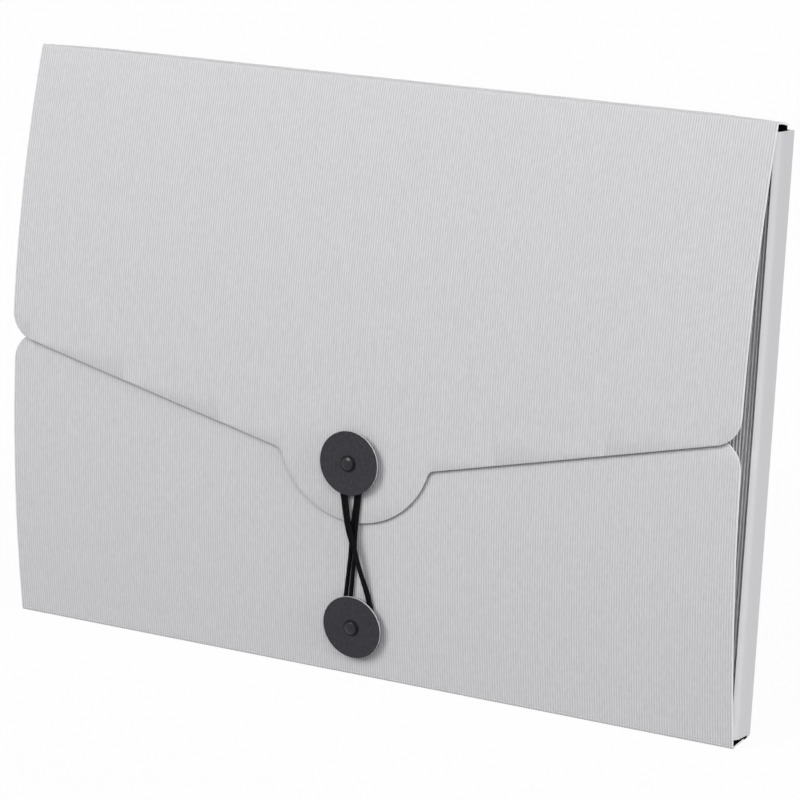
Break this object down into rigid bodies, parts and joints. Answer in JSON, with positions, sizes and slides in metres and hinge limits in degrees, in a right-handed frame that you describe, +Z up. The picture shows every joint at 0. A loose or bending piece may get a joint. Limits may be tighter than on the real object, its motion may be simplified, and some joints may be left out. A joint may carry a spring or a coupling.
{
  "type": "elastic closure folder",
  "caption": "Landscape document folder in pale ribbed card: shallow case with a pleated accordion, bowed front, hinged flap with a round tab, and elastic looped round disc buttons.",
  "frame": {"origin": "middle of the bottom wall's underside, half way across and half way through the case", "axes": "+X across the folder to the right as seen from the front, +Y from the flap's side to the back panel, +Z up"},
  "size_m": [0.3308, 0.0338, 0.2404],
  "materials": {
    "cover_board": "matt, finely ribbed outside, black inside",
    "pocket_paper": "matt",
    "button_board": "matt, with a pale cut edge",
    "rivet_metal": "gloss black",
    "elastic_cord": "woven, satin"
  },
  "bodies": {
    "case": {"back_panel": "cover_board", "left_side_wall": "cover_board", "right_side_wall": "cover_board", "bottom_wall": "cover_board", "left_gusset": "pocket_paper", "right_gusset": "pocket_paper"},
    "spine": {"top_spine": "cover_board"},
    "flap": {"front_flap": "cover_board", "upper_rivet": "rivet_metal", "upper_washer": "rivet_metal"},
    "upper_button": {"upper_disc": "button_board"},
    "front": {"front_panel": "cover_board", "lower_rivet": "rivet_metal", "lower_washer": "rivet_metal", "elastic_loops": "elastic_cord"},
    "lower_button": {"lower_disc": "button_board"},
    "divider_1": {"divider_1": "pocket_paper"},
    "divider_2": {"divider_2": "pocket_paper"},
    "divider_3": {"divider_3": "pocket_paper"},
    "divider_4": {"divider_4": "pocket_paper"},
    "divider_5": {"divider_5": "pocket_paper"},
    "divider_6": {"divider_6": "pocket_paper"},
    "divider_7": {"divider_7": "pocket_paper"},
    "divider_8": {"divider_8": "pocket_paper"},
    "divider_9": {"divider_9": "pocket_paper"}
  },
  "joints": [
    {"name": "spine_fold", "type": "hinge", "parent": "case", "child": "spine", "pos_m": [0, 0.0075, 0.2381], "axis": [-1, 0, 0], "range_deg": [0, 120]},
    {"name": "flap_fold", "type": "hinge", "parent": "spine", "child": "flap", "pos_m": [0, -0.0075, 0.24], "axis": [-1, 0, 0], "range_deg": [0, 180], "deforming": ["elastic_loops"]},
    {"name": "front_panel_fold", "type": "hinge", "parent": "case", "child": "front", "pos_m": [0, -0.0075, 0], "axis": [1, 0, 0], "range_deg": [0, 27], "deforming": ["left_gusset", "right_gusset"]},
    {"name": "upper_disc_spin", "type": "hinge", "parent": "flap", "child": "upper_button", "pos_m": [0, -0.02082, 0.09], "axis": [0, -0.9983, -0.0583], "continuous": true},
    {"name": "lower_disc_spin", "type": "hinge", "parent": "front", "child": "lower_button", "pos_m": [0, -0.01156, 0.022], "axis": [0, -0.9866, -0.163], "continuous": true},
    {"name": "divider_1_fan", "type": "hinge", "parent": "case", "child": "divider_1", "pos_m": [0, -0.0075, 0], "axis": [1, 0, 0], "range_deg": [0, 0.272]},
    {"name": "divider_2_fan", "type": "hinge", "parent": "case", "child": "divider_2", "pos_m": [0, -0.0075, 0], "axis": [1, 0, 0], "range_deg": [0, 1.01]},
    {"name": "divider_3_fan", "type": "hinge", "parent": "case", "child": "divider_3", "pos_m": [0, -0.0075, 0], "axis": [1, 0, 0], "range_deg": [0, 2.18]},
    {"name": "divider_4_fan", "type": "hinge", "parent": "case", "child": "divider_4", "pos_m": [0, -0.0075, 0], "axis": [1, 0, 0], "range_deg": [0, 3.7]},
    {"name": "divider_5_fan", "type": "hinge", "parent": "case", "child": "divider_5", "pos_m": [0, -0.0075, 0], "axis": [1, 0, 0], "range_deg": [0, 5.5]},
    {"name": "divider_6_fan", "type": "hinge", "parent": "case", "child": "divider_6", "pos_m": [0, -0.0075, 0], "axis": [1, 0, 0], "range_deg": [0, 7.54]},
    {"name": "divider_7_fan", "type": "hinge", "parent": "case", "child": "divider_7", "pos_m": [0, -0.0075, 0], "axis": [1, 0, 0], "range_deg": [0, 9.75]},
    {"name": "divider_8_fan", "type": "hinge", "parent": "case", "child": "divider_8", "pos_m": [0, -0.0075, 0], "axis": [1, 0, 0], "range_deg": [0, 12.05]},
    {"name": "divider_9_fan", "type": "hinge", "parent": "case", "child": "divider_9", "pos_m": [0, -0.0075, 0], "axis": [1, 0, 0], "range_deg": [0, 14.4]}
  ],
  "couplings": [
    {"joint": "front_panel_fold", "follows": "flap_fold", "ratio": 0.15},
    {"joint": "divider_1_fan", "follows": "flap_fold", "ratio": 0.001455},
    {"joint": "divider_2_fan", "follows": "flap_fold", "ratio": 0.00558},
    {"joint": "divider_3_fan", "follows": "flap_fold", "ratio": 0.012045},
    {"joint": "divider_4_fan", "follows": "flap_fold", "ratio": 0.020475},
    {"joint": "divider_5_fan", "follows": "flap_fold", "ratio": 0.030525},
    {"joint": "divider_6_fan", "follows": "flap_fold", "ratio": 0.04185},
    {"joint": "divider_7_fan", "follows": "flap_fold", "ratio": 0.05409},
    {"joint": "divider_8_fan", "follows": "flap_fold", "ratio": 0.0669},
    {"joint": "divider_9_fan", "follows": "flap_fold", "ratio": 0.079935}
  ]
}
